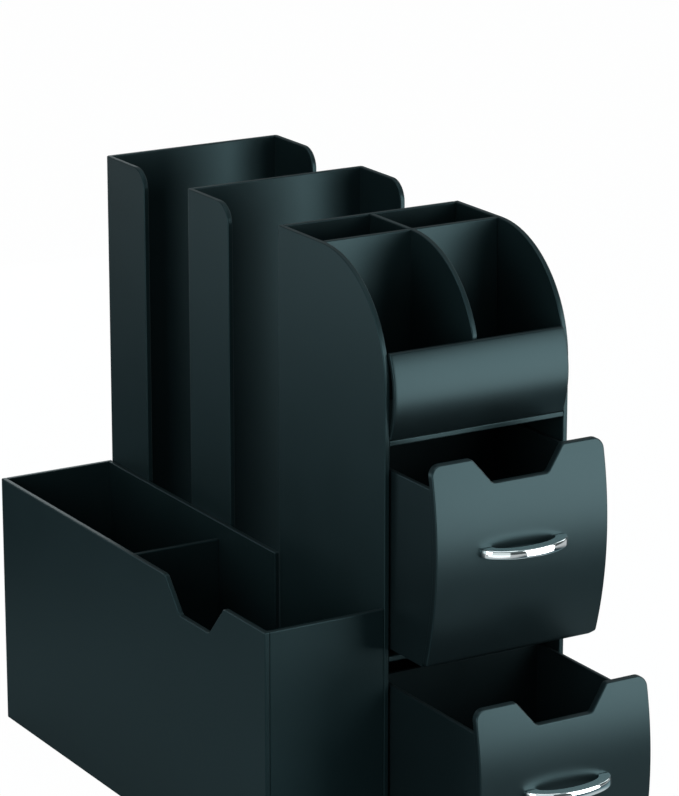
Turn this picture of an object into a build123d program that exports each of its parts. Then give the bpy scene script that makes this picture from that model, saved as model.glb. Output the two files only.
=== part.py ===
"""Countertop condiment caddy with two drawers, in millimetres.

A narrow tower holds two drawers, two packet pockets and two stirrer wells. Behind it
stand a column for lids and a column for cups, and a low open bin for napkins and
cutlery runs along the left side. The pieces are flat or curved moulded panels.

Frame: the origin is the middle of the footprint, on the table. The drawers open
towards -Y, the bin is on the -X side, and +Z is up. The drawers are drawn partly open.
"""

from build123d import *
import math
import os

os.makedirs("parts", exist_ok=True)

# Panels and overall size
wall = 3.0                # every fixed panel
edge_radius = 0.6         # softened panel edges
body_height = 332.5       # tower and columns
tower_width = 114.0
tower_depth = 110.0
lid_pitch = 102.0         # depth that the lid column adds behind the tower
cup_pitch = 98.0          # depth that the cup column adds behind that
bin_width = 72.0          # from the bin's outer face to the tower
bin_height = 148.5

# Tower front
front_arc = 65.0          # rounded front-top corner of the tower's upright panels
bay_height = 115.5        # clear height of each drawer bay
fascia_height = 46.5      # curved front of the packet pockets
fascia_bulge = 5.0        # how far it stands out before the tower's front
fascia_set_back = 0.5     # its top edge lies this far behind the front
divider_set_back = 3.6    # the centre divider stops behind the fascia
lap_clearance = 0.1       # halving joint of the two dividers

# Shelf tongues in the side panels' grooves
groove_depth = 1.0
groove_clearance = 0.1
groove_stop = 8.0         # the grooves stop short of the front edge

# Columns
wing_depth = 47.0         # side wings, measured from the column's back
wing_corner = 12.0        # their rounded front-top corners
column_corner = 2.0       # upright outer corners at the back

# Bin
notch_start = 43.8        # notch in the bin's side panel, from the front
notch_top_width = 65.3
notch_bottom_width = 32.6
notch_depth = 18.5
notch_corner = 4.0
napkin_length = 170.0     # clear length of the napkin compartment
divider_drop = 10.0       # the bin's divider stands this much lower than its rim

# Drawers
upper_open = 38.5         # how far each drawer is drawn out here
lower_open = 82.3
front_side_gap = 0.8
front_top_gap = 0.8
front_thickness = 4.0
front_radius = 200.0      # bow of the drawer front
front_crown = 65.5        # height of the bow's crown above the shelf
front_corner = 6.0        # upper corners of the drawer front
front_foot_corner = 2.0   # lower corners
front_foot_round = 3.2    # rounded underside of the drawer front
hand_notch_top = 56.0     # notch in the drawer front's top edge
hand_notch_bottom = 34.0
hand_notch_depth = 13.5
hand_notch_corner = 3.0
tray_wall = 2.5
tray_depth = 100.0        # from the front's top edge to the tray's back
tray_inset = 0.5          # the tray is this much narrower than the front, each side
tray_drop = 12.4          # the tray's rim lies this far below the front's top
skid_height = 3.7         # two ribs under the tray carry it on the shelf
skid_width = 4.0
skid_inset = 12.0         # from the tray's side to the rib
skid_set_back = 20.0      # the ribs start this far behind the front's top edge
slide_gap = 0.3           # running clearance under the skids

# Drawer handles
handle_width = 53.0
handle_reach = 14.0       # how far the bow stands out from the front
finger_width = 38.0       # clear opening behind the bow
finger_reach = 7.4
handle_height = 4.8
handle_bevel = 1.2
screw_radius = 1.5
screw_clearance = 0.1
screw_engagement = 5.0    # how far the screw runs into the handle's foot
screw_head_radius = 3.2
screw_head_height = 1.9

# Places that follow from the sizes
body_width = bin_width + tower_width
body_depth = tower_depth + lid_pitch + cup_pitch
x_left = -body_width / 2
x_seam = x_left + bin_width
x_right = body_width / 2
x_bay_left = x_seam + wall
x_bay_right = x_right - wall
x_mid = (x_seam + x_right) / 2
bay_width = x_bay_right - x_bay_left
y_front = -body_depth / 2
y_tower_back = y_front + tower_depth
y_lid_back = y_tower_back + lid_pitch
y_back = body_depth / 2
z_drawer_shelf = wall + bay_height
z_upper_shelf = z_drawer_shelf + wall + bay_height
z_pocket_floor = z_upper_shelf + wall
soft = min(edge_radius, wall / 4, tray_wall / 4)


def finish(piece, name):
    """Labels a finished piece and writes it to its own file."""
    piece.part.label = name
    export_step(piece.part, f"parts/{name}.step")


# ---- Tower -------------------------------------------------------------------------

def tower_side_panel(x_outer, inward):
    """Upright side of the tower; inward is +1 or -1, the way to the bays."""
    x_inner = x_outer + inward * wall
    with BuildPart() as panel:
        with BuildSketch(Plane.YZ.offset(x_outer)):
            with BuildLine():
                arc = CenterArc((y_front + front_arc, body_height - front_arc), front_arc, 90, 90)
                Polyline(arc @ 0, (y_tower_back, body_height), (y_tower_back, 0), (y_front, 0), arc @ 1)
            make_face()
        extrude(amount=inward * wall)
        fillet(panel.edges(), soft)
        groove_length = tower_depth - groove_stop
        groove_height = wall + 2 * groove_clearance
        for underside in (z_drawer_shelf, z_upper_shelf):
            with BuildSketch(Plane.YZ.offset(x_inner)):
                with Locations((y_tower_back - wall - groove_length / 2, underside + wall / 2)):
                    Rectangle(groove_length - 2 * wall, groove_height)
            extrude(amount=-inward * groove_depth, mode=Mode.SUBTRACT)
    return panel


finish(tower_side_panel(x_seam, 1), "tower_left_panel")
finish(tower_side_panel(x_right, -1), "tower_right_panel")

with BuildPart() as tower_back:
    with BuildSketch(Plane.XZ.offset(-y_tower_back)):
        with Locations((x_mid, body_height / 2)):
            Rectangle(bay_width, body_height)
    extrude(amount=wall)
    fillet(tower_back.edges(), soft)
finish(tower_back, "tower_back_panel")


def tower_shelf(underside):
    """Plate between the side panels, with a tongue along each side for the grooves."""
    depth = tower_depth - wall
    tongue_reach = groove_depth - groove_clearance
    groove_length = tower_depth - groove_stop - 2 * wall
    tongue_length = groove_length - 2 * groove_clearance
    y_tongue = y_tower_back - wall - (tower_depth - groove_stop) / 2
    with BuildPart() as shelf:
        with BuildSketch(Plane.XY.offset(underside)):
            with Locations((x_mid, y_front + depth / 2)):
                Rectangle(bay_width, depth)
        extrude(amount=wall)
        fillet(shelf.edges().filter_by(Axis.X), soft)
        if underside > 0:
            with BuildSketch(Plane.XY.offset(underside)):
                with Locations((x_mid, y_tongue)):
                    Rectangle(bay_width + 2 * tongue_reach, tongue_length)
            extrude(amount=wall)
    return shelf


finish(tower_shelf(0), "tower_base")
finish(tower_shelf(z_drawer_shelf), "drawer_shelf")
finish(tower_shelf(z_upper_shelf), "upper_shelf")

# Curved front of the packet pockets: an even wall between two parallel bows.
with BuildPart() as fascia:
    z_fascia_top = z_pocket_floor + fascia_height
    z_fascia_crown = z_pocket_floor + fascia_height / 2
    with BuildSketch(Plane.YZ.offset(x_bay_left)):
        with BuildLine():
            outer = ThreePointArc(
                (y_front, z_pocket_floor),
                (y_front - fascia_bulge, z_fascia_crown),
                (y_front + fascia_set_back, z_fascia_top),
            )
            inner = ThreePointArc(
                (y_front + wall, z_pocket_floor),
                (y_front - fascia_bulge + wall, z_fascia_crown),
                (y_front + fascia_set_back + wall, z_fascia_top),
            )
            Line(outer @ 0, inner @ 0)
            Line(outer @ 1, inner @ 1)
        make_face()
    extrude(amount=bay_width)
    fillet(fascia.edges().filter_by(Axis.X), soft)
    end_edges = fascia.edges().group_by(Axis.X)
    fillet(end_edges[0] + end_edges[-1], soft / 2)
finish(fascia, "pocket_fascia")

# The two dividers of the upper compartments cross in a halving joint.
y_stirrer = y_front + front_arc
z_lap = (z_pocket_floor + body_height) / 2
lap_width = wall + 2 * lap_clearance

with BuildPart() as centre_divider:
    with BuildSketch(Plane.YZ.offset(x_mid - wall / 2)):
        with BuildLine():
            y_edge = y_front + divider_set_back
            rise = math.sqrt(front_arc**2 - (front_arc - divider_set_back) ** 2)
            z_edge = body_height - front_arc + rise
            sweep = 90 - math.degrees(math.asin(rise / front_arc))
            arc = CenterArc((y_stirrer, body_height - front_arc), front_arc, 90, sweep)
            y_rear = y_tower_back - wall
            Polyline(
                arc @ 0,
                (y_rear, body_height),
                (y_rear, z_pocket_floor),
                (y_edge, z_pocket_floor),
                arc @ 1,
            )
        make_face()
    extrude(amount=wall)
    fillet(centre_divider.edges(), soft)
    with BuildSketch(Plane.YZ.offset(x_mid - wall / 2)):
        with Locations((y_stirrer + wall / 2, (z_lap + body_height) / 2)):
            Rectangle(lap_width, body_height - z_lap)
    extrude(amount=wall, mode=Mode.SUBTRACT)
finish(centre_divider, "centre_divider")

with BuildPart() as stirrer_divider:
    with BuildSketch(Plane.XZ.offset(-y_stirrer - wall)):
        with Locations((x_mid, (z_pocket_floor + body_height) / 2)):
            Rectangle(bay_width, body_height - z_pocket_floor)
    extrude(amount=wall)
    fillet(stirrer_divider.edges(), soft)
    with BuildSketch(Plane.XZ.offset(-y_stirrer - wall)):
        with Locations((x_mid, (z_pocket_floor + z_lap + lap_clearance) / 2)):
            Rectangle(lap_width, z_lap + lap_clearance - z_pocket_floor)
    extrude(amount=wall, mode=Mode.SUBTRACT)
finish(stirrer_divider, "stirrer_divider")


# ---- Columns behind the tower --------------------------------------------------------

with BuildPart() as column_floor:
    with BuildSketch():
        with Locations((x_mid, (y_tower_back + y_back) / 2)):
            Rectangle(tower_width, y_back - y_tower_back)
    extrude(amount=wall)
    fillet(column_floor.edges(), soft)
finish(column_floor, "column_floor")


def column_shell(y_rear):
    """Back and two wings of a column in one U-shaped moulding, standing on the floor."""
    with BuildPart() as shell:
        with BuildSketch(Plane.XY.offset(wall)):
            with Locations((x_mid, y_rear - wing_depth / 2)):
                Rectangle(tower_width, wing_depth)
            with Locations((x_mid, y_rear - wall - wing_depth / 2)):
                Rectangle(bay_width, wing_depth, mode=Mode.SUBTRACT)
        extrude(amount=body_height - wall)
        across = shell.edges().filter_by(Axis.X)
        wing_tips = across.group_by(Axis.Y)[0].group_by(Axis.Z)[-1]
        fillet(wing_tips, wing_corner)
        upright = shell.edges().filter_by(Axis.Z)
        fillet(upright.group_by(Axis.Y)[-1], column_corner)
        fillet(shell.faces().sort_by(Axis.Z)[-1].edges(), soft)
    return shell


finish(column_shell(y_lid_back), "lid_column_shell")
finish(column_shell(y_back), "cup_column_shell")


# ---- Bin along the left side ---------------------------------------------------------

with BuildPart() as bin_side:
    with BuildSketch(Plane.YZ.offset(x_left)) as side_outline:
        with BuildLine():
            y_notch = y_front + notch_start
            slope = (notch_top_width - notch_bottom_width) / 2
            z_notch = bin_height - notch_depth
            Polyline(
                (y_front, 0),
                (y_front, bin_height),
                (y_notch, bin_height),
                (y_notch + slope, z_notch),
                (y_notch + slope + notch_bottom_width, z_notch),
                (y_notch + notch_top_width, bin_height),
                (y_back, bin_height),
                (y_back, 0),
                close=True,
            )
        make_face()
        notch_points = side_outline.vertices().filter_by_position(
            Axis.Y, z_notch - 1, bin_height + 1
        )
        fillet(notch_points.sort_by(Axis.X)[1:-1], notch_corner)
    extrude(amount=wall)
    fillet(bin_side.edges(), soft)
finish(bin_side, "bin_side_panel")

x_bin_left = x_left + wall
bin_clear = x_seam - x_bin_left


def bin_cross_panel(y_rear, z_low, z_high, x_low, x_high):
    """Upright panel across the bin, with its rear face at y_rear."""
    with BuildPart() as panel:
        with BuildSketch(Plane.XZ.offset(-y_rear)):
            with Locations(((x_low + x_high) / 2, (z_low + z_high) / 2)):
                Rectangle(x_high - x_low, z_high - z_low)
        extrude(amount=wall)
        fillet(panel.edges(), soft)
    return panel


finish(bin_cross_panel(y_front + wall, 0, bin_height, x_bin_left, x_seam), "bin_front_panel")
finish(bin_cross_panel(y_back, 0, bin_height, x_bin_left, x_seam), "bin_back_panel")

with BuildPart() as bin_floor:
    with BuildSketch():
        with Locations(((x_bin_left + x_seam) / 2, 0)):
            Rectangle(bin_clear, body_depth - 2 * wall)
    extrude(amount=wall)
    fillet(bin_floor.edges(), soft)
finish(bin_floor, "bin_floor")

# The bin's inner wall stands beside the open sides of the two columns.
with BuildPart() as bin_inner:
    inner_length = y_back - wall - y_tower_back
    with BuildSketch(Plane.YZ.offset(x_seam - wall)):
        with Locations((y_tower_back + inner_length / 2, (wall + bin_height) / 2)):
            Rectangle(inner_length, bin_height - wall)
    extrude(amount=wall)
    fillet(bin_inner.edges(), soft)
finish(bin_inner, "bin_inner_panel")

y_bin_divider = y_front + wall + napkin_length + wall
z_bin_divider = bin_height - divider_drop
finish(
    bin_cross_panel(y_bin_divider, wall, z_bin_divider, x_bin_left, x_seam - wall),
    "bin_divider",
)


# ---- Drawers -------------------------------------------------------------------------

front_width = bay_width - 2 * front_side_gap
tray_width = front_width - 2 * tray_inset
inner_radius = front_radius - front_thickness
screw_spacing = (handle_width + finger_width) / 2


class DrawerPlaces:
    """Heights and depths of one drawer that stands on z_shelf and is open by opening."""

    def __init__(self, z_shelf, opening):
        self.z_foot = z_shelf + slide_gap
        self.z_bottom = self.z_foot + skid_height
        self.z_top = z_shelf + bay_height - front_top_gap
        self.z_crown = z_shelf + front_crown
        self.y_top = y_front - opening
        rise = self.z_top - self.z_crown
        self.y_axis = self.y_top + math.sqrt(front_radius**2 - rise**2)
        self.y_crown = self.y_axis - front_radius
        self.y_rear = self.y_top + tray_depth

    def bow_y(self, radius, z):
        """Y of the bow of that radius at height z."""
        return self.y_axis - math.sqrt(radius**2 - (z - self.z_crown) ** 2)


def drawer_front(at):
    """Bowed front: an even shell, trimmed to an outline with a notch for the hand."""
    z_middle = (at.z_bottom + at.z_top) / 2
    height = at.z_top - at.z_bottom
    with BuildPart() as front:
        with BuildSketch(Plane.YZ.offset(x_mid - front_width / 2)):
            with BuildLine():
                lines = []
                for radius in (front_radius, inner_radius):
                    lines.append(
                        ThreePointArc(
                            (at.bow_y(radius, at.z_bottom), at.z_bottom),
                            (at.bow_y(radius, z_middle), z_middle),
                            (at.bow_y(radius, at.z_top), at.z_top),
                        )
                    )
                Line(lines[0] @ 0, lines[1] @ 0)
                Line(lines[0] @ 1, lines[1] @ 1)
            make_face()
        extrude(amount=front_width)
        with BuildSketch(Plane.XZ.offset(-at.y_axis)) as outline:
            with Locations((x_mid, z_middle)):
                Rectangle(front_width, height)
            corners = outline.vertices().group_by(Axis.Y)
            fillet(corners[-1], front_corner)
            fillet(corners[0], front_foot_corner)
            with BuildLine():
                z_hand = at.z_top - hand_notch_depth
                Polyline(
                    (x_mid - hand_notch_top / 2, at.z_top),
                    (x_mid - hand_notch_bottom / 2, z_hand),
                    (x_mid + hand_notch_bottom / 2, z_hand),
                    (x_mid + hand_notch_top / 2, at.z_top),
                    close=True,
                )
            make_face(mode=Mode.SUBTRACT)
            notch = outline.vertices().filter_by_position(
                Axis.X,
                x_mid - hand_notch_top / 2 - 0.1,
                x_mid + hand_notch_top / 2 + 0.1,
            )
            fillet(notch, hand_notch_corner)
        extrude(amount=2 * front_radius, mode=Mode.INTERSECT)
        lowest = front.faces().sort_by(Axis.Z)[0]
        fillet(lowest.edges().filter_by(Axis.X).sort_by(Axis.Y)[0], front_foot_round)
        bow_faces = front.faces().sort_by(SortBy.AREA)[-2:]
        rim = [edge for edge in bow_faces.edges() if edge.bounding_box().max.Z > z_middle]
        fillet(rim, soft)
        for side in (-1, 1):
            with BuildSketch(Plane.XZ.offset(-at.y_axis)):
                with Locations((x_mid + side * screw_spacing / 2, at.z_crown)):
                    Circle(screw_radius + screw_clearance)
            extrude(amount=2 * front_radius, mode=Mode.SUBTRACT)
    return front


def drawer_tray(at):
    """Floor, sides and back in one; the front end follows the back of the drawer front."""
    z_rim = at.z_top - tray_drop
    z_middle = (at.z_bottom + z_rim) / 2
    z_inside = at.z_bottom + tray_wall
    with BuildPart() as tray:
        with BuildSketch(Plane.YZ.offset(x_mid - tray_width / 2)):
            with BuildLine():
                bow = ThreePointArc(
                    (at.bow_y(inner_radius, at.z_bottom), at.z_bottom),
                    (at.bow_y(inner_radius, z_middle), z_middle),
                    (at.bow_y(inner_radius, z_rim), z_rim),
                )
                Polyline(bow @ 1, (at.y_rear, z_rim), (at.y_rear, at.z_bottom), bow @ 0)
            make_face()
        extrude(amount=tray_width)
        uprights = tray.edges().filter_by(Axis.Z)
        fillet(uprights, tray_wall)
        with BuildSketch(Plane.XY.offset(z_inside)) as hollow:
            clear_depth = tray_depth + front_radius
            with Locations((x_mid, at.y_rear - tray_wall - clear_depth / 2)):
                Rectangle(tray_width - 2 * tray_wall, clear_depth)
        extrude(amount=z_rim, mode=Mode.SUBTRACT)
        rim = tray.faces().sort_by(Axis.Z)[-1].edges()
        fillet(rim.filter_by(Axis.Y), soft)
        skid_length = tray_depth - skid_set_back - 2 * tray_wall
        with BuildSketch(Plane.XY.offset(at.z_foot)):
            for side in (-1, 1):
                x_skid = x_mid + side * (tray_width / 2 - skid_inset)
                with Locations((x_skid, at.y_rear - 2 * tray_wall - skid_length / 2)):
                    Rectangle(skid_width, skid_length)
        extrude(amount=skid_height)
    return tray


def drawer_handle(at):
    """Bow handle: the crescent between two half ellipses, with bevelled outer edges."""
    z_low = at.z_crown - handle_height / 2
    with BuildPart() as handle:
        with BuildSketch(Plane.XY.offset(z_low)):
            with Locations((x_mid, at.y_crown)):
                Ellipse(handle_width / 2, handle_reach)
                Ellipse(finger_width / 2, finger_reach, mode=Mode.SUBTRACT)
            with Locations((x_mid, at.y_crown + handle_reach)):
                Rectangle(2 * handle_width, 2 * handle_reach, mode=Mode.SUBTRACT)
        extrude(amount=handle_height)
        outer_rim = handle.edges().group_by(SortBy.LENGTH)[-1]
        fillet(outer_rim, handle_bevel)
        for side in (-1, 1):
            with BuildSketch(Plane.XZ.offset(-at.y_crown)):
                with Locations((x_mid + side * screw_spacing / 2, at.z_crown)):
                    Circle(screw_radius + screw_clearance)
            extrude(amount=screw_engagement + screw_clearance, mode=Mode.SUBTRACT)
    return handle


def handle_screws(at):
    """Two pan-head screws from inside the drawer, through the front, into the feet."""
    y_inside = at.bow_y(inner_radius, at.z_crown) + screw_clearance
    with BuildPart() as screws:
        places = [(x_mid - screw_spacing / 2, at.z_crown), (x_mid + screw_spacing / 2, at.z_crown)]
        with BuildSketch(Plane.XZ.offset(-y_inside)):
            with Locations(*places):
                Circle(screw_radius)
        extrude(amount=front_thickness + screw_engagement)
        with BuildSketch(Plane.XZ.offset(-y_inside - screw_head_height)):
            with Locations(*places):
                Circle(screw_head_radius)
        extrude(amount=screw_head_height)
        heads = screws.edges().filter_by(GeomType.CIRCLE).group_by(Axis.Y)[-1]
        fillet(heads, screw_head_height / 3)
    return screws


drawers = {
    "upper_drawer": DrawerPlaces(z_drawer_shelf + wall, upper_open),
    "lower_drawer": DrawerPlaces(wall, lower_open),
}
for name, at in drawers.items():
    finish(drawer_tray(at), f"{name}_tray")
    finish(drawer_front(at), f"{name}_front")
    finish(drawer_handle(at), f"{name}_handle")
    finish(handle_screws(at), f"{name}_handle_screws")
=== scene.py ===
import math

import bpy
import numpy as np
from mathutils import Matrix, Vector


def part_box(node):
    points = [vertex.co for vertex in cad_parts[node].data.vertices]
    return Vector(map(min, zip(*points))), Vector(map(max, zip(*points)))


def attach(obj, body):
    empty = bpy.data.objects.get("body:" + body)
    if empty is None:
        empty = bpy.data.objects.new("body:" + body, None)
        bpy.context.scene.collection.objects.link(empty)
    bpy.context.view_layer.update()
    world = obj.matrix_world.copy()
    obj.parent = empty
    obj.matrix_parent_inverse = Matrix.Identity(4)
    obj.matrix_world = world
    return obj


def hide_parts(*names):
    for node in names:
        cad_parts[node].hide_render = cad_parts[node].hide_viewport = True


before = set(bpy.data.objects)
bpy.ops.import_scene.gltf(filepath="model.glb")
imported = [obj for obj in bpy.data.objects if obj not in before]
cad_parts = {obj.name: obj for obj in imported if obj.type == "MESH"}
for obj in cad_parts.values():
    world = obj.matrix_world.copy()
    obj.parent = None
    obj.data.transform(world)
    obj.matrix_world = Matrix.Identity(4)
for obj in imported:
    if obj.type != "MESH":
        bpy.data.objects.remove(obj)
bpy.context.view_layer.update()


# ---- Table, light and camera ---------------------------------------------------------
# A pale table top in a dim studio with seven softboxes. The strongest, at the front right,
# draws the bright bands on the bowed fronts. The camera looks from the front left.

def point_at(thing, place, target):
    """Puts a lamp or camera at place with its -Z axis towards target."""
    thing.location = place
    thing.rotation_mode = "QUATERNION"
    thing.rotation_quaternion = (Vector(target) - Vector(place)).to_track_quat("-Z", "Y")


def softbox(name, place, target, width, height, radiance, colour):
    """Area lamp of even radiance: its power is pi times the area times the radiance."""
    lamp = bpy.data.lights.new(name, "AREA")
    lamp.shape = "RECTANGLE"
    lamp.size = width
    lamp.size_y = height
    lamp.energy = math.pi * width * height * radiance
    lamp.color = colour
    holder = bpy.data.objects.new(name, lamp)
    bpy.context.scene.collection.objects.link(holder)
    point_at(holder, place, target)
    holder.visible_camera = False


softbox(
    "front_softbox", place=(0.387, -0.659, 0.27), target=(0.04, -0.2, 0.22),
    width=0.44, height=0.52, radiance=6.6, colour=(1.0, 1.0, 1.0),
)
softbox(
    "left_softbox", place=(-0.75, 0.72, 0.21), target=(-0.05, -0.15, 0.2),
    width=0.45, height=0.40, radiance=1.8, colour=(0.7, 0.95, 1.0),
)
softbox(
    "side_softbox", place=(-0.85, -0.42, 0.42), target=(-0.1, -0.08, 0.1),
    width=0.55, height=0.55, radiance=5.0, colour=(0.9, 0.98, 1.0),
)
softbox(
    "low_softbox", place=(-0.43, -0.69, 0.25), target=(0.0, -0.2, 0.2),
    width=0.90, height=0.48, radiance=0.8, colour=(0.95, 1.0, 1.0),
)
softbox(
    "back_softbox", place=(0.17, 1.15, 0.32), target=(0.0, 0.0, 0.20),
    width=0.66, height=0.60, radiance=1.5, colour=(0.9, 0.98, 1.0),
)
softbox(
    "right_softbox", place=(1.30, 0.10, 0.80), target=(0.0, 0.0, 0.15),
    width=0.8, height=0.8, radiance=1.8, colour=(0.95, 1.0, 1.0),
)
softbox(
    "top_softbox", place=(-0.1, -0.5, 1.8), target=(0.0, -0.1, 0.1),
    width=1.2, height=1.2, radiance=1.5, colour=(1.0, 1.0, 1.0),
)


def feed(tree, socket, source):
    """Gives a socket a plain value, or links it to the output of another node."""
    if isinstance(source, bpy.types.NodeSocket):
        tree.links.new(source, socket)
    else:
        socket.default_value = source


def add_math(tree, operation, first, second=0.0):
    """Math node; each operand is a number or the output of another node."""
    node = tree.nodes.new("ShaderNodeMath")
    node.operation = operation
    feed(tree, node.inputs[0], first)
    feed(tree, node.inputs[1], second)
    return node.outputs[0]


def add_measure(tree, operation, place, vector):
    """Vector Math node that makes one number of each place and the vector."""
    node = tree.nodes.new("ShaderNodeVectorMath")
    node.operation = operation
    feed(tree, node.inputs[0], place)
    feed(tree, node.inputs[1], vector)
    return node.outputs["Value"]


def smooth_ramp(tree, value, start, end, at_start, at_end):
    """Smoothstep of value: at_start up to start, and at_end from end on."""
    ramp = tree.nodes.new("ShaderNodeMapRange")
    ramp.interpolation_type = "SMOOTHSTEP"
    for label, source in (
        ("Value", value), ("From Min", start), ("From Max", end),
        ("To Min", at_start), ("To Max", at_end),
    ):
        feed(tree, ramp.inputs[label], source)
    return ramp.outputs[0]


def mix_colours(tree, share, first, second):
    """Mix node that goes from the first colour at a share of 0 to the second at 1."""
    node = tree.nodes.new("ShaderNodeMix")
    node.data_type = "RGBA"
    for label, source in (("Factor", share), ("A", first), ("B", second)):
        feed(tree, node.inputs[label], source)
    return node.outputs["Result"]


def mix_shaders(tree, share, first, second, surface):
    """Mix Shader node between two shaders, linked to the surface of the output node."""
    node = tree.nodes.new("ShaderNodeMixShader")
    for socket, source in zip(node.inputs, (share, first.outputs[0], second.outputs[0])):
        feed(tree, socket, source)
    tree.links.new(node.outputs[0], surface.inputs["Surface"])


def ray_shares(tree, straight_share, mirror_share):
    """Light Path as two outputs: a share for camera and glass rays, one for mirror rays."""
    path = tree.nodes.new("ShaderNodeLightPath").outputs
    straight = add_math(tree, "MAXIMUM", path["Is Camera Ray"], path["Is Transmission Ray"])
    return (
        add_math(tree, "MULTIPLY", straight, straight_share),
        add_math(tree, "MULTIPLY", path["Is Glossy Ray"], mirror_share),
    )


# The room is dim towards the camera and paler overhead and behind. Straight rays see it
# as white paper.
room_colour = (0.80, 0.96, 1.0, 1.0)
room_least = 0.06
white = (1.0, 1.0, 1.0, 1.0)

world = bpy.data.worlds.new("studio")
bpy.context.scene.world = world
world.use_nodes = True
tree = world.node_tree
tree.nodes.clear()
heading = tree.nodes.new("ShaderNodeSeparateXYZ")
tree.links.new(tree.nodes.new("ShaderNodeTexCoord").outputs["Generated"], heading.inputs[0])
overhead = smooth_ramp(
    tree, heading.outputs["Z"], start=0.2, end=1.0, at_start=0.0, at_end=0.45
)
behind = smooth_ramp(
    tree, heading.outputs["Y"], start=0.0, end=1.0, at_start=0.0, at_end=0.10
)
level = add_math(tree, "ADD", add_math(tree, "ADD", overhead, behind), room_least)
room = tree.nodes.new("ShaderNodeBackground")
room.inputs["Color"].default_value = room_colour
tree.links.new(level, room.inputs["Strength"])
paper = tree.nodes.new("ShaderNodeBackground")
paper.inputs["Color"].default_value = white
paper.inputs["Strength"].default_value = 1.0
straight, mirrored = ray_shares(tree, straight_share=1.0, mirror_share=0.03)
paper_share = add_math(tree, "ADD", straight, mirrored)
mix_shaders(tree, paper_share, room, paper, tree.nodes.new("ShaderNodeOutputWorld"))

# Mirror rays find the table dim towards the front right and the back left, a little paler
# close to the object, and pale on both sides of that line. A pale round before the
# drawers lights the lower edges of the handles.
table_half = 9.0
table_colour = (0.16, 0.24, 0.26, 1.0)
dim_colour = (0.03, 0.05, 0.06, 1.0)
table_glow = 1.05
near_white = 0.06
round_middle = (0.13, -0.33, 0.0)
pale_heading = (0.83, 0.56, 0.0)

table_mesh = bpy.data.meshes.new("table_top")
table_mesh.from_pydata(
    [(x * table_half, y * table_half, 0.0) for x, y in ((-1, -1), (1, -1), (1, 1), (-1, 1))],
    [],
    [(0, 1, 2, 3)],
)
table_top = bpy.data.objects.new("table_top", table_mesh)
bpy.context.scene.collection.objects.link(table_top)

table_paint = bpy.data.materials.new("pale_table")
table_paint.use_nodes = True
tree = table_paint.node_tree
tree.nodes.clear()
table_place = tree.nodes.new("ShaderNodeTexCoord").outputs["Object"]
from_object = add_measure(tree, "DISTANCE", table_place, (0.0, 0.0, 0.0))
from_round = add_measure(tree, "DISTANCE", table_place, round_middle)
aside = add_math(tree, "ABSOLUTE", add_measure(tree, "DOT_PRODUCT", table_place, pale_heading))
near = smooth_ramp(tree, from_object, start=0.25, end=0.62, at_start=1.0, at_end=0.0)
pale_round = smooth_ramp(tree, from_round, start=0.06, end=0.16, at_start=0.45, at_end=0.0)
pale_sides = smooth_ramp(tree, aside, start=0.25, end=0.60, at_start=0.0, at_end=0.55)
straight, mirrored = ray_shares(tree, straight_share=0.94, mirror_share=1.0)
mirror_white = add_math(
    tree, "ADD", add_math(tree, "MULTIPLY", near, near_white),
    add_math(tree, "ADD", pale_round, pale_sides),
)
white_share = add_math(
    tree, "ADD", straight, add_math(tree, "MULTIPLY", mirrored, mirror_white)
)
dim_share = add_math(tree, "MULTIPLY", mirrored, add_math(tree, "SUBTRACT", 1.0, near))
lit = tree.nodes.new("ShaderNodeBsdfDiffuse")
feed(tree, lit.inputs["Color"], mix_colours(tree, dim_share, table_colour, dim_colour))
glowing = tree.nodes.new("ShaderNodeEmission")
glowing.inputs["Color"].default_value = white
glowing.inputs["Strength"].default_value = table_glow
mix_shaders(tree, white_share, lit, glowing, tree.nodes.new("ShaderNodeOutputMaterial"))
table_mesh.materials.append(table_paint)

# The camera stands at eye. Its azimuth turns the view from +Y towards -X, and its
# elevation is the angle by which it looks down.
eye = Vector((-0.980, -1.7186, 0.7963))
azimuth = math.radians(-30.79)
elevation = math.radians(16.19)

camera_data = bpy.data.cameras.new("view")
camera_data.lens = 167.8
camera_data.sensor_width = 36.0
camera_data.clip_start = 0.1
camera_data.clip_end = 30.0
camera = bpy.data.objects.new("view", camera_data)
bpy.context.scene.collection.objects.link(camera)
bpy.context.scene.camera = camera
looking = Vector((
    -math.sin(azimuth) * math.cos(elevation),
    math.cos(azimuth) * math.cos(elevation),
    -math.sin(elevation),
))
point_at(camera, eye, eye + looking)
bpy.context.scene.view_settings.view_transform = "Standard"


# ---- Tower and bin panels ------------------------------------------------------------
# Flat panels of black styrene with a satin finish and softened edges. They are moulded
# apart and pushed together, so each keeps its own thin rim of light.

def new_group(name, inputs, outputs):
    """Shader node group with named sockets: inputs are (label, kind, value) and outputs
    (label, kind). Returns the group and the sockets that its nodes read and fill."""
    group = bpy.data.node_groups.new(name, "ShaderNodeTree")
    for label, kind, value in inputs:
        socket = group.interface.new_socket(
            label, in_out="INPUT", socket_type=f"NodeSocket{kind}"
        )
        socket.default_value = value
    for label, kind in outputs:
        group.interface.new_socket(label, in_out="OUTPUT", socket_type=f"NodeSocket{kind}")
    entry = group.nodes.new("NodeGroupInput")
    leave = group.nodes.new("NodeGroupOutput")
    return group, entry.outputs, leave.inputs


def add_noise(tree, coordinates, scale, detail, roughness):
    """Noise texture on the given coordinates; scale may be a number or an output."""
    node = tree.nodes.new("ShaderNodeTexNoise")
    for label, source in (
        ("Vector", coordinates), ("Scale", scale), ("Detail", detail), ("Roughness", roughness),
    ):
        feed(tree, node.inputs[label], source)
    return node.outputs["Fac"]


# Moulded grain: the fine pitted texture of the mould and the slow waves of the melt.
waves_over_pits = 2.2
clouds_per_metre = 36.0
mean_cloud = 0.5

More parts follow.
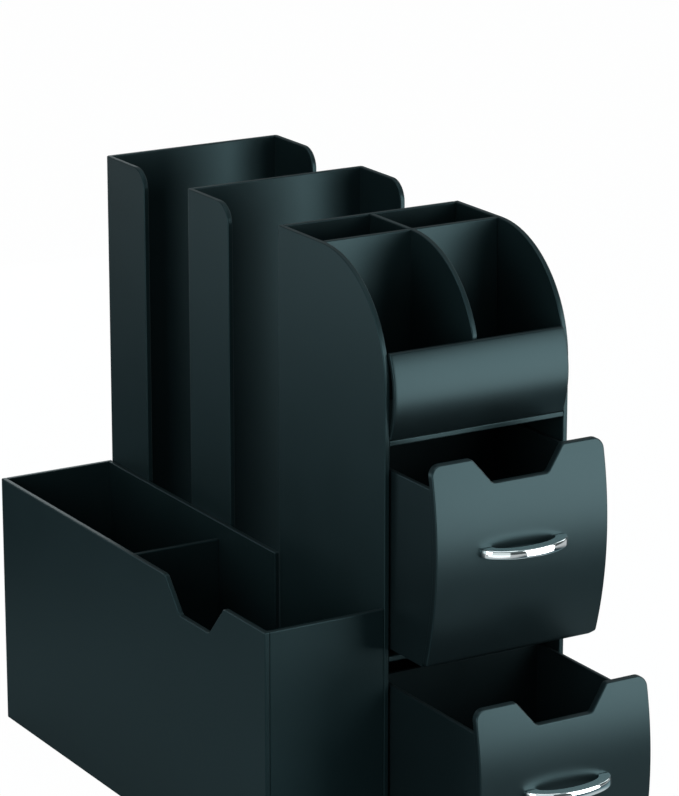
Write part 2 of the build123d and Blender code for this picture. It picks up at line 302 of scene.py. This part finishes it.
grain, grain_in, grain_out = new_group(
    "moulded_grain",
    [("Grains per metre", "Float", 2200.0), ("Waves per metre", "Float", 14.0),
     ("Roughness", "Float", 0.38), ("Cloudiness", "Float", 0.05)],
    [("Height", "Float"), ("Roughness", "Float"), ("Clouds", "Float")],
)
place = grain.nodes.new("ShaderNodeTexCoord").outputs["Object"]
pits = add_noise(grain, place, grain_in["Grains per metre"], detail=2.0, roughness=0.6)
waves = add_noise(grain, place, grain_in["Waves per metre"], detail=3.0, roughness=0.5)
clouds = add_noise(grain, place, clouds_per_metre, detail=4.0, roughness=0.6)
height = add_math(grain, "ADD", pits, add_math(grain, "MULTIPLY", waves, waves_over_pits))
above_mean = add_math(grain, "SUBTRACT", clouds, mean_cloud)
swing = add_math(grain, "MULTIPLY", above_mean, grain_in["Cloudiness"])
feed(grain, grain_out["Height"], height)
feed(grain, grain_out["Roughness"], add_math(grain, "ADD", grain_in["Roughness"], swing))
feed(grain, grain_out["Clouds"], clouds)

# Settled dust and painted top light: a faint pale film lies in patches on whatever faces up, and
# dulls it. Its paleness is dust and also painted light from above.
dust_and_top_light_colour = (0.34, 0.41, 0.42, 1.0)
patches_per_metre = 55.0
dulling = 1.5

dust_and_top_light, dust_and_top_light_in, dust_and_top_light_out = new_group(
    "dust_and_painted_top_light",
    [("Colour", "Color", (0.005, 0.0075, 0.008, 1.0)), ("Roughness", "Float", 0.38),
     ("Amount", "Float", 0.012)],
    [("Colour", "Color"), ("Roughness", "Float")],
)
# Faces that turn up are painted paler, as dust and as light from above.
facing = dust_and_top_light.nodes.new("ShaderNodeSeparateXYZ")
dust_and_top_light.links.new(dust_and_top_light.nodes.new("ShaderNodeNewGeometry").outputs["Normal"], facing.inputs[0])
upward = smooth_ramp(
    dust_and_top_light, facing.outputs["Z"], start=0.55, end=0.98, at_start=0.0, at_end=1.0
)
place = dust_and_top_light.nodes.new("ShaderNodeTexCoord").outputs["Object"]
patches = add_noise(dust_and_top_light, place, patches_per_metre, detail=6.0, roughness=0.7)
dust_and_top_light_mask = add_math(dust_and_top_light, "MULTIPLY", upward, patches)
dust_and_top_light_film = add_math(dust_and_top_light, "MULTIPLY", dust_and_top_light_mask, dust_and_top_light_in["Amount"])
duller = add_math(dust_and_top_light, "MULTIPLY", dust_and_top_light_film, dulling)
feed(dust_and_top_light, dust_and_top_light_out["Colour"], mix_colours(dust_and_top_light, dust_and_top_light_film, dust_and_top_light_in["Colour"], dust_and_top_light_colour))
feed(dust_and_top_light, dust_and_top_light_out["Roughness"], add_math(dust_and_top_light, "ADD", dust_and_top_light_in["Roughness"], duller))


def grained_finish(name, grain_values, dust_and_top_light_values, shader_values, bump_strength, bump_depth):
    """Material with the grain group and the group of dust and painted top light feeding one
    Principled shader; each takes its values by socket name. Returns the material and the nodes
    of the two groups."""
    material = bpy.data.materials.new(name)
    material.use_nodes = True
    tree = material.node_tree
    shader = tree.nodes["Principled BSDF"]
    texture = tree.nodes.new("ShaderNodeGroup")
    texture.node_tree = grain
    dust_and_top_light_film = tree.nodes.new("ShaderNodeGroup")
    dust_and_top_light_film.node_tree = dust_and_top_light
    bump = tree.nodes.new("ShaderNodeBump")
    bump_values = {"Strength": bump_strength, "Distance": bump_depth}
    for node, values in (
        (texture, grain_values), (dust_and_top_light_film, dust_and_top_light_values), (bump, bump_values),
        (shader, shader_values),
    ):
        for label, value in values.items():
            node.inputs[label].default_value = value
    tree.links.new(texture.outputs["Roughness"], dust_and_top_light_film.inputs["Roughness"])
    tree.links.new(texture.outputs["Height"], bump.inputs["Height"])
    tree.links.new(dust_and_top_light_film.outputs["Colour"], shader.inputs["Base Color"])
    tree.links.new(dust_and_top_light_film.outputs["Roughness"], shader.inputs["Roughness"])
    tree.links.new(bump.outputs["Normal"], shader.inputs["Normal"])
    return material, texture, dust_and_top_light_film


cool_sheen = (0.52, 0.92, 1.0, 1.0)
cloud_swing = 0.2


def satin_plastic(name, colour, roughness, specular, grain_depth):
    """Black moulded plastic with a cool sheen. Its colour swings by the cloud swing, darker
    and lighter, in slow clouds."""
    material, texture, dust_and_top_light_film = grained_finish(
        name,
        grain_values={"Roughness": roughness},
        dust_and_top_light_values={},
        shader_values={"Specular IOR Level": specular, "Specular Tint": cool_sheen},
        bump_strength=0.5, bump_depth=grain_depth,
    )
    darker, lighter = (
        (*(share * part for part in colour), 1.0) for share in (1 - cloud_swing, 1 + cloud_swing)
    )
    tree = material.node_tree
    clouded = mix_colours(tree, texture.outputs["Clouds"], darker, lighter)
    tree.links.new(clouded, dust_and_top_light_film.inputs["Colour"])
    return material


# Smooth shading across the softened edges, with the flat faces kept flat.
weld_distance = 1e-6
steep_angle = math.radians(50)

smoothing = bpy.data.node_groups.new("weld_and_smooth", "GeometryNodeTree")
for in_out in ("INPUT", "OUTPUT"):
    smoothing.interface.new_socket(
        "Geometry", in_out=in_out, socket_type="NodeSocketGeometry"
    )
weld = smoothing.nodes.new("GeometryNodeMergeByDistance")
weld.inputs["Distance"].default_value = weld_distance
all_smooth = smoothing.nodes.new("GeometryNodeSetShadeSmooth")
all_smooth.domain = "FACE"
all_smooth.inputs["Shade Smooth"].default_value = True
hard = smoothing.nodes.new("GeometryNodeSetShadeSmooth")
hard.domain = "EDGE"
hard.inputs["Shade Smooth"].default_value = False
fold = smoothing.nodes.new("GeometryNodeInputMeshEdgeAngle")
steep = smoothing.nodes.new("FunctionNodeCompare")
steep.operation = "GREATER_THAN"
steep.inputs["B"].default_value = steep_angle
smoothing.links.new(fold.outputs["Unsigned Angle"], steep.inputs["A"])
smoothing.links.new(steep.outputs[0], hard.inputs["Selection"])
smoothing.links.new(smoothing.nodes.new("NodeGroupInput").outputs[0], weld.inputs[0])
smoothing.links.new(weld.outputs[0], all_smooth.inputs[0])
smoothing.links.new(all_smooth.outputs[0], hard.inputs[0])
smoothing.links.new(hard.outputs[0], smoothing.nodes.new("NodeGroupOutput").inputs[0])


def even_shading(piece):
    """Weights the normals by face area, so that wide faces shade flat to their edges."""
    weights = piece.modifiers.new("even_shading", "WEIGHTED_NORMAL")
    weights.keep_sharp = True


def dress(node_name, material):
    """Gives a CAD node its material and its smooth shading."""
    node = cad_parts[node_name]
    node.data.materials.clear()
    node.data.materials.append(material)
    node.modifiers.new("smoothing", "NODES").node_group = smoothing
    even_shading(node)


satin_panel = satin_plastic(
    "satin_panel_black", colour=(0.0050, 0.0100, 0.0110),
    roughness=0.36, specular=0.27, grain_depth=1.2e-5,
)
for node_name in (
    "tower_left_panel", "tower_right_panel", "tower_back_panel", "tower_base",
    "drawer_shelf", "upper_shelf", "centre_divider", "stirrer_divider", "column_floor",
    "lid_column_shell", "cup_column_shell", "bin_side_panel", "bin_front_panel",
    "bin_back_panel", "bin_floor", "bin_inner_panel", "bin_divider",
):
    dress(node_name, satin_panel)


# ---- Curved fascia of the tower ------------------------------------------------------
# One bowed strip of black plastic between the tower's side panels. It is moulded with an
# even wall and rounded long edges, and is left bare.

def enclosed_volume(points, faces):
    """Six times the volume that faces enclose: each is cut into triangles from its first
    corner, and each triangle adds that corner times the cross product of the other two."""
    corners = points[faces]
    return np.sum(corners[:, :1] * np.cross(corners[:, 1:-1], corners[:, 2:]))


def ring_mesh(name, ring_sets, cap, material, body, node, normals=None):
    """Closed mesh from sets of rings x points x 3: quads join each ring to the next, and
    both ends close with a fan to their middle, or with a ladder across the ring's two
    halves. Faces are turned outwards by the sign of the volume they enclose. Normals are
    one vector for each point of a single set, for a surface whose own are known."""
    all_points, faces, base = [], [], 0
    for rings in ring_sets:
        count, around = rings.shape[:2]
        points = rings.reshape(-1, 3)
        step = np.arange(around)
        after = (step + 1) % around
        start = np.arange(count - 1)[:, None] * around
        last = (count - 1) * around
        quads = np.stack(
            [start + step, start + after, start + around + after, start + around + step], axis=-1
        ).reshape(-1, 4)
        if cap == "fan":
            first_hub, last_hub = np.full((2, around), [[len(points)], [len(points) + 1]])
            points = np.vstack([points, rings[0].mean(axis=0), rings[-1].mean(axis=0)])
            first_cap = np.stack([after, step, first_hub], axis=-1)
            last_cap = np.stack([last + step, last + after, last_hub], axis=-1)
        else:
            rung = np.arange(around // 2 - 1)
            first_cap = np.stack([rung + 1, rung, around - 1 - rung, around - 2 - rung], axis=-1)
            last_cap = last + first_cap[:, ::-1]
        parts = (quads, first_cap, last_cap)
        turn = -1 if sum(enclosed_volume(points, part) for part in parts) < 0 else 1
        for part in parts:
            faces += (base + part[:, ::turn]).tolist()
        all_points.append(points)
        base += len(points)
    mesh = bpy.data.meshes.new(name)
    mesh.from_pydata(np.vstack(all_points).tolist(), [], faces)
    mesh.polygons.foreach_set("use_smooth", np.ones(len(faces), dtype=bool))
    if normals is not None:
        hub_normals = normals[[0, -1]].mean(axis=1)
        mesh.normals_split_custom_set_from_vertices(np.vstack([*normals, hub_normals]).tolist())
    mesh.materials.append(material)
    piece = bpy.data.objects.new(name, mesh)
    bpy.context.scene.collection.objects.link(piece)
    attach(piece, body)
    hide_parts(node)
    return piece


def strip_section(length, depth, radius, inset, per_corner, per_side):
    """Rounded rectangle as a loop of (along, through) points, drawn in by inset: a
    quarter circle, a straight side and a quarter circle, then their mirror image."""
    turn = np.linspace(0, math.pi / 2, per_corner)
    corner = radius - inset
    low = np.stack([radius - corner * np.cos(turn), radius - corner * np.sin(turn)], axis=-1)
    side = np.linspace(radius, length - radius, per_side + 2)[1:-1]
    straight = np.stack([side, np.full(per_side, inset)], axis=-1)
    high = low[::-1] * [-1, 1] + [length, 0]
    outer = np.vstack([low, straight, high])
    inner = outer[::-1] * [1, -1] + [0, depth]
    return np.vstack([outer, inner])


def bow_y(z, low, crown, high):
    """Y at height z on the circle through three (y, z) points."""
    (y1, z1), (y2, z2), (y3, z3) = low, crown, high
    sides = 2 * np.array([[y2 - y1, z2 - z1], [y3 - y1, z3 - z1]])
    squares = [y2**2 + z2**2 - y1**2 - z1**2, y3**2 + z3**2 - y1**2 - z1**2]
    y_axis, z_axis = np.linalg.solve(sides, squares)
    radius = math.hypot(y1 - y_axis, z1 - z_axis)
    return y_axis - np.sqrt(radius**2 - (z - z_axis) ** 2)


satin_drawer = satin_plastic(
    "satin_drawer_black", colour=(0.0040, 0.0070, 0.0078),
    roughness=0.33, specular=0.30, grain_depth=1.0e-5,
)
(fascia_left, _, fascia_foot), (fascia_right, _, fascia_top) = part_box("pocket_fascia")
fascia_wall = 0.003
fascia_rim = 0.0009
fascia_end = 0.0007
fascia_bulge = 0.005
fascia_lean = 0.0005
tower_front = -0.155

# Where the rings stand, from either end, and how far each is drawn in to round that end.
end_rings = (
    (0.0, fascia_end), (0.3 * fascia_end, 0.3 * fascia_end), (fascia_end, 0.0), (0.002, 0.0),
)
middle_rings = np.linspace(fascia_left + 0.01, fascia_right - 0.01, 12)
fascia_rings = []
for x, inset in (
    *((fascia_left + along, inset) for along, inset in end_rings),
    *((x, 0.0) for x in middle_rings),
    *((fascia_right - along, inset) for along, inset in end_rings[::-1]),
):
    section = strip_section(
        fascia_top - fascia_foot, fascia_wall, fascia_rim, inset, per_corner=6, per_side=40
    )
    z = fascia_foot + section[:, 0]
    y = section[:, 1] + bow_y(
        z,
        low=(tower_front, fascia_foot),
        crown=(tower_front - fascia_bulge, (fascia_foot + fascia_top) / 2),
        high=(tower_front + fascia_lean, fascia_top),
    )
    fascia_rings.append(np.stack([np.full_like(y, x), y, z], axis=-1))
even_shading(ring_mesh(
    "pocket_fascia_bow", [np.array(fascia_rings)], cap="ladder", material=satin_drawer,
    body="caddy", node="pocket_fascia",
))


# ---- Drawers -------------------------------------------------------------------------
# Each drawer is a moulded tray behind a bowed front of the same plastic. The front has a
# notched top edge, rounded corners and a rolled lower edge.

def filleted_outline(corners, radii, spacing):
    """Closed outline through corners, each rounded by its radius: arcs about a centre on
    the corner's bisector, joined by straight runs. Points are spacing apart on the runs
    and four times as close on the arcs. Returns points and outward normals."""
    corners = np.asarray(corners, dtype=float)
    ahead = np.roll(corners, -1, axis=0) - corners
    ahead /= np.linalg.norm(ahead, axis=1, keepdims=True)
    behind = np.roll(ahead, 1, axis=0)
    turn = np.arctan2(
        behind[:, 0] * ahead[:, 1] - behind[:, 1] * ahead[:, 0], np.sum(behind * ahead, axis=1)
    )
    reach = radii * np.tan(np.abs(turn) / 2)
    points, normals = [], []
    for i, radius in enumerate(radii):
        steps = max(5, int(abs(turn[i]) * radius / spacing * 4))
        heading = math.atan2(behind[i][1], behind[i][0]) + turn[i] * np.linspace(0, 1, steps)
        outward = np.stack([np.sin(heading), -np.cos(heading)], axis=-1)
        side = math.copysign(1, turn[i])
        centre = corners[i] - behind[i] * reach[i] - outward[0] * side * radius
        points.append(centre + outward * side * radius)
        normals.append(outward)
        following = (i + 1) % len(radii)
        start = corners[i] + ahead[i] * reach[i]
        end = corners[following] - ahead[i] * reach[following]
        runs = max(2, int(np.linalg.norm(end - start) / spacing))
        share = np.linspace(0, 1, runs + 1)[1:-1, None]
        points.append(start + (end - start) * share)
        normals.append(np.repeat(outward[-1:], runs - 1, axis=0))
    return np.vstack(points), np.vstack(normals)


def on_bow(flat, rim, radius, axis, side, offset, bend):
    """Ring of (x, z) points laid on the bow: y is the bow's axis less the radius times
    the cosine of the slope, plus offset, where the sine of the slope is the height above
    the axis over the radius. The normals lean from the bow's own towards rim by bend."""
    sine = (flat[:, 1] - axis[1]) / radius
    cosine = np.sqrt(1 - sine**2)
    points = np.stack([flat[:, 0], axis[0] - radius * cosine + offset, flat[:, 1]], axis=-1)
    level = np.zeros_like(sine)
    facing = side * math.cos(bend) * np.stack([level, -cosine, sine], axis=-1)
    facing += math.sin(bend) * np.stack([rim[:, 0], level, rim[:, 1]], axis=-1)
    return points, facing / np.linalg.norm(facing, axis=1, keepdims=True)


front_radius = 0.200
front_wall = 0.004
foot_corner, top_corner, notch_corner = 0.0036, 0.006, 0.003
notch_depth, notch_half_top, notch_half_foot = 0.0135, 0.028, 0.017
foot_round, rim_round = 0.0032, 0.0008
roll_start = 0.2
outline_spacing = 0.0012
hub_drop = 0.005
x_middle = (fascia_left + fascia_right) / 2
corner_radii = np.array([foot_corner] * 2 + [top_corner] + [notch_corner] * 4 + [top_corner])
spokes = [0.03, 0.08, *np.linspace(0.15, 0.93, 16), 0.97, 0.99]
bends = np.linspace(0, math.pi / 2, 7)

for drawer, z_crown in (("upper_drawer", 0.187), ("lower_drawer", 0.0685)):
    dress(f"{drawer}_tray", satin_drawer)
    (x_low, y_least, z_low), (x_high, _, z_high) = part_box(f"{drawer}_front")
    bow_axis = (y_least + front_radius, z_crown)
    z_notch = z_high - notch_depth
    outline, normals = filleted_outline(
        [(x_low, z_low), (x_high, z_low), (x_high, z_high), (x_middle + notch_half_top, z_high),
         (x_middle + notch_half_foot, z_notch), (x_middle - notch_half_foot, z_notch),
         (x_middle - notch_half_top, z_high), (x_low, z_high)],
        corner_radii, outline_spacing,
    )
    hub = np.array([x_middle, (z_low + z_high) / 2 - hub_drop])
    # The rim's round grows by a smoothstep to the rolled foot, where the outline faces down.
    downward = np.clip((-normals[:, 1] - roll_start) / (1 - roll_start), 0, 1)
    outer_round = rim_round + (foot_round - rim_round) * downward**2 * (3 - 2 * downward)
    inner_round = np.full_like(outer_round, rim_round)
    rings, ring_normals = [], []
    # Outwards over the front face and its rounded rim, then back in behind them.
    for side, radius, round_off in (
        (1, front_radius, outer_round), (-1, front_radius - front_wall, inner_round),
    ):
        face_edge = outline - normals * round_off[:, None]
        courses = [(hub + (face_edge - hub) * spoke, 0.0) for spoke in spokes]
        for bend in bends:
            drawn_in = round_off * (1 - math.sin(bend))
            courses.append((outline - normals * drawn_in[:, None], bend))
        for flat, bend in courses[::side]:
            offset = side * round_off * (1 - math.cos(bend))
            points, facing = on_bow(flat, normals, radius, bow_axis, side, offset, bend)
            rings.append(points)
            ring_normals.append(facing)
    ring_mesh(
        f"{drawer}_bowed_front", [np.array(rings)], cap="fan", material=satin_drawer,
        body=drawer, node=f"{drawer}_front",
        normals=np.array(ring_normals),
    )


# ---- Bow handles ---------------------------------------------------------------------
# Each handle is a die-cast bow with bright chrome plating, flat on top and rounded
# outwards, screwed to its drawer from inside.

chrome, _, _ = grained_finish(
    "bright_chrome",
    grain_values={
        "Grains per metre": 900.0, "Waves per metre": 60.0, "Roughness": 0.07,
        "Cloudiness": 0.04,
    },
    # The chrome takes a thicker pale film on what faces up: dust and painted top light.
    dust_and_top_light_values={"Colour": (0.74, 0.80, 0.81, 1.0), "Amount": 0.02},
    shader_values={"Metallic": 1.0},
    bump_strength=0.3, bump_depth=6e-6,
)
handle_half, handle_reach = 0.0265, 0.014
opening_half, opening_reach = 0.019, 0.0074
handle_height = 0.0048
foot_bevel, inner_bevel = 0.0009, 0.0005
brow_depth, brow_height = 0.0011, 0.0036
seat_chamfer, seat_depth = 0.88, 0.0003

# The section as a loop of (depth, height) points: a small round at the foot of the outer
# side, an elliptical brow at its top, then the inner side with two rounds.
half = handle_height / 2
small = np.linspace(0, math.pi / 2, 7)
large = np.linspace(0, math.pi / 2, 13)
foot = [foot_bevel * (1 - np.sin(small)), foot_bevel * (1 - np.cos(small)) - half]
brow = [brow_depth * (1 - np.cos(large)), half - brow_height * (1 - np.sin(large))]
outer_loop = np.hstack([foot, brow]).T
tuck = inner_bevel * (1 - np.sin(small))
level = half - inner_bevel * (1 - np.cos(small))
spare = len(outer_loop) - 2 * len(small)
inner_side = [np.zeros(spare), np.linspace(level[-1], -level[-1], spare + 2)[1:-1]]
inner_loop = np.hstack([[tuck, level], inner_side, [tuck[::-1], -level[::-1]]]).T

# The bow runs along half an ellipse outside and a flatter one inside: each point lies
# between them, at its depth as a share of the width that the bow has there.
sweep = np.linspace(0, math.pi, 97)[:, None]
width = np.hypot(
    (handle_half - opening_half) * np.cos(sweep), (handle_reach - opening_reach) * np.sin(sweep)
)
outer_depth = np.broadcast_to(outer_loop[:, 0], (len(sweep), len(outer_loop)))
share = np.hstack([outer_depth, width - inner_loop[:, 0]]) / width
bow_x = (handle_half + (opening_half - handle_half) * share) * np.cos(sweep)
bow_out = (handle_reach + (opening_reach - handle_reach) * share) * np.sin(sweep)
bow_z = np.broadcast_to(np.concatenate([outer_loop[:, 1], inner_loop[:, 1]]), bow_x.shape)

for drawer in ("upper_drawer", "lower_drawer"):
    (_, _, z_low), (_, y_foot, z_high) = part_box(f"{drawer}_handle")
    rings = np.stack([x_middle + bow_x, y_foot - bow_out, (z_low + z_high) / 2 + bow_z], axis=-1)
    # Both feet are chamfered where they meet the drawer front, and sit a little into it.
    feet = rings[[0, -1]]
    middles = feet.mean(axis=1, keepdims=True)
    rings[[0, -1]] = middles + (feet - middles) * seat_chamfer
    sunk = rings[[0, -1]] + [0, seat_depth, 0]
    rings = np.concatenate([sunk[:1], rings, sunk[1:]])
    even_shading(ring_mesh(
        f"{drawer}_bow_handle", [rings], cap="ladder", material=chrome,
        body=drawer, node=f"{drawer}_handle",
    ))


# ---- Handle screws -------------------------------------------------------------------
# Two pan-head screws of zinc-plated steel hold each handle. They are driven from inside
# the drawer, and each has a cross recess in its domed head.

steel, _, _ = grained_finish(
    "zinc_plated_steel",
    grain_values={"Grains per metre": 3000.0, "Roughness": 0.33, "Cloudiness": 0.15},
    dust_and_top_light_values={"Colour": (0.56, 0.57, 0.58, 1.0)},
    shader_values={"Metallic": 1.0},
    bump_strength=0.5, bump_depth=1.2e-5,
)
screw_radius = 0.0015
tip_radius, tip_chamfer = 0.0007, 0.0003
head_radius, head_height, head_bevel = 0.0032, 0.0019, 0.0002
dome_reach, dome_fall = 0.985, 0.62
cross_half, cross_flank = 0.00042, 0.00012
cross_reach, cross_slope = 0.0017, 0.0005
cross_depth = 0.0011


def pan_screw(x_axis, z_axis, y_tip, y_seat):
    """Rings of a screw: a profile of (radius, y) points turned about its axis. The head's
    height falls with the fourth power of the radius. The cross is sunk where the smaller
    of a point's distances along X and Z is under half its width and the larger is under
    its reach, with a straight slope at each limit."""
    shank = [
        (tip_radius, y_tip), (screw_radius - tip_chamfer, y_tip),
        (screw_radius, y_tip + tip_chamfer), (screw_radius, y_seat),
        (head_radius - head_bevel, y_seat), (head_radius, y_seat + head_bevel),
    ]
    # The dome's rings lie closer together towards its rim, and end just short of the axis.
    radii = head_radius * (1 - np.linspace(0, 1, 18) ** 1.5 * dome_reach)
    crown = head_height * (1 - dome_fall * (radii / head_radius) ** 4)
    profile = np.vstack([shank, np.stack([radii, y_seat + crown], axis=-1)])
    turn = np.linspace(0, 2 * math.pi, 64, endpoint=False)
    x = x_axis + profile[:, :1] * np.cos(turn)
    z = z_axis + profile[:, :1] * np.sin(turn)
    across, along = np.sort([np.abs(x - x_axis), np.abs(z - z_axis)], axis=0)
    sunk = np.clip((cross_half - across) / cross_flank, 0, 1)
    sunk *= np.clip((cross_reach - along) / cross_slope, 0, 1)
    sunk[:len(shank)] = 0
    return np.stack([x, profile[:, 1:] - cross_depth * sunk, z], axis=-1)


for drawer in ("upper_drawer", "lower_drawer"):
    (x_low, y_tip, z_low), (x_high, y_crown, z_high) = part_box(f"{drawer}_handle_screws")
    pair = [
        pan_screw(x_axis, (z_low + z_high) / 2, y_tip, y_crown - head_height)
        for x_axis in (x_low + head_radius, x_high - head_radius)
    ]
    ring_mesh(
        f"{drawer}_pan_screws", pair, cap="fan", material=steel,
        body=drawer, node=f"{drawer}_handle_screws",
    )
